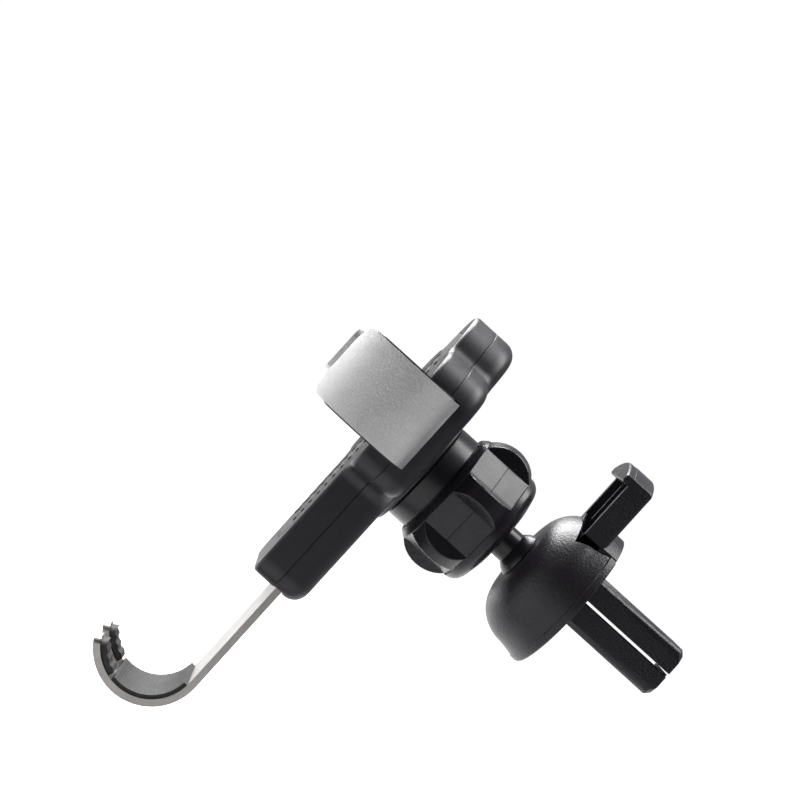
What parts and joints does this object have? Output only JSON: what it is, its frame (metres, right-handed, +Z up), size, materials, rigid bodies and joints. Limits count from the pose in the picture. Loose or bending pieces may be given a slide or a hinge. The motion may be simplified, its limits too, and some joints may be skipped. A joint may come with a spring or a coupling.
{
  "type": "car phone mount",
  "caption": "Gravity phone cradle with side arms and a hooked foot, on a ball joint with a ring nut and a sprung clip for an air vent's blade.",
  "frame": {"origin": "middle of the fixed jaw's gripping face, where a vent blade rests", "axes": "+Z up along the phone's length, +Y from the cradle to the clip, the way the jaws point, +X to the side"},
  "size_m": [0.0806, 0.0875, 0.0981],
  "materials": {
    "case_black": "fine moulded texture, matte",
    "ring_black": "satin moulded",
    "clip_black": "spark texture, satin",
    "stud_black": "smooth satin",
    "blasted_aluminium": "bead blasted and anodised silver",
    "strip_aluminium": "satin anodised",
    "grip_rubber": "matte, ribbed",
    "nylon": "moulded",
    "screw_steel": "zinc plated",
    "spring_steel": "drawn wire"
  },
  "bodies": {
    "clip": {"clip_housing": "clip_black", "fixed_jaw": "clip_black", "fixed_jaw_liner": "grip_rubber", "pivot_pin": "screw_steel", "torsion_spring": "spring_steel", "stud_screw": "screw_steel", "clip_screws": "screw_steel", "ball_stud": "stud_black"},
    "jaw": {"moving_jaw": "clip_black", "moving_jaw_liner": "grip_rubber"},
    "seat_front": {"ball_cup": "nylon"},
    "seat_rear": {"ball_washer": "grip_rubber"},
    "cradle": {"front_shell": "case_black", "rear_shell": "case_black", "back_pad": "grip_rubber", "case_screws": "screw_steel", "pinion_axle": "screw_steel", "return_spring": "spring_steel", "socket_neck": "ring_black", "neck_screws": "screw_steel"},
    "ring": {"locking_ring": "ring_black"},
    "gear": {"pinion": "nylon"},
    "arm_left": {"left_arm": "blasted_aluminium", "left_arm_pad": "grip_rubber", "left_rack": "nylon", "left_arm_screws": "screw_steel"},
    "arm_right": {"right_arm": "blasted_aluminium", "right_arm_pad": "grip_rubber", "right_rack": "nylon", "right_arm_screws": "screw_steel"},
    "foot": {"foot_bracket": "strip_aluminium", "left_finger_pad": "grip_rubber", "right_finger_pad": "grip_rubber", "hook_pad": "grip_rubber", "foot_rack": "nylon", "foot_screws": "screw_steel"}
  },
  "joints": [
    {"name": "jaw_hinge", "type": "hinge", "parent": "clip", "child": "jaw", "pos_m": [0, -0.01675, 0.0074], "axis": [1, 0, 0], "range_deg": [0, 12], "stiffness_Nm_per_rad": 0.5, "springref_deg": -5.73, "deforming": ["torsion_spring"]},
    {"name": "ball_tilt", "type": "hinge", "parent": "clip", "child": "seat_front", "pos_m": [0, -0.03735, -0.0016], "axis": [1, 0, 0], "range_deg": [-18, 18]},
    {"name": "ball_pan", "type": "hinge", "parent": "seat_front", "child": "seat_rear", "pos_m": [0, -0.03735, -0.0016], "axis": [0, 0, 1], "range_deg": [-18, 18]},
    {"name": "ball_roll", "type": "hinge", "parent": "seat_rear", "child": "cradle", "pos_m": [0, -0.03735, -0.0016], "axis": [0, 1, 0], "continuous": true},
    {"name": "ring_turn", "type": "hinge", "parent": "cradle", "child": "ring", "pos_m": [0, -0.03735, -0.0016], "axis": [0, 1, 0], "range_deg": [0, 135]},
    {"name": "foot_slide", "type": "slide", "parent": "cradle", "child": "foot", "axis": [0, 0, 1], "range_m": [-0.0055, 0.005], "deforming": ["return_spring"]},
    {"name": "left_arm_slide", "type": "slide", "parent": "cradle", "child": "arm_left", "axis": [-1, 0, 0], "range_m": [-0.0055, 0.005]},
    {"name": "right_arm_slide", "type": "slide", "parent": "cradle", "child": "arm_right", "axis": [1, 0, 0], "range_m": [-0.0055, 0.005]},
    {"name": "pinion_spin", "type": "hinge", "parent": "cradle", "child": "gear", "pos_m": [0, -0.05605, 0.0042], "axis": [0, 1, 0], "range_deg": [-50, 50]}
  ],
  "couplings": [
    {"joint": "left_arm_slide", "follows": "foot_slide", "ratio": 1},
    {"joint": "right_arm_slide", "follows": "foot_slide", "ratio": 1},
    {"joint": "pinion_spin", "follows": "foot_slide", "rad_per_m": 142.86}
  ]
}
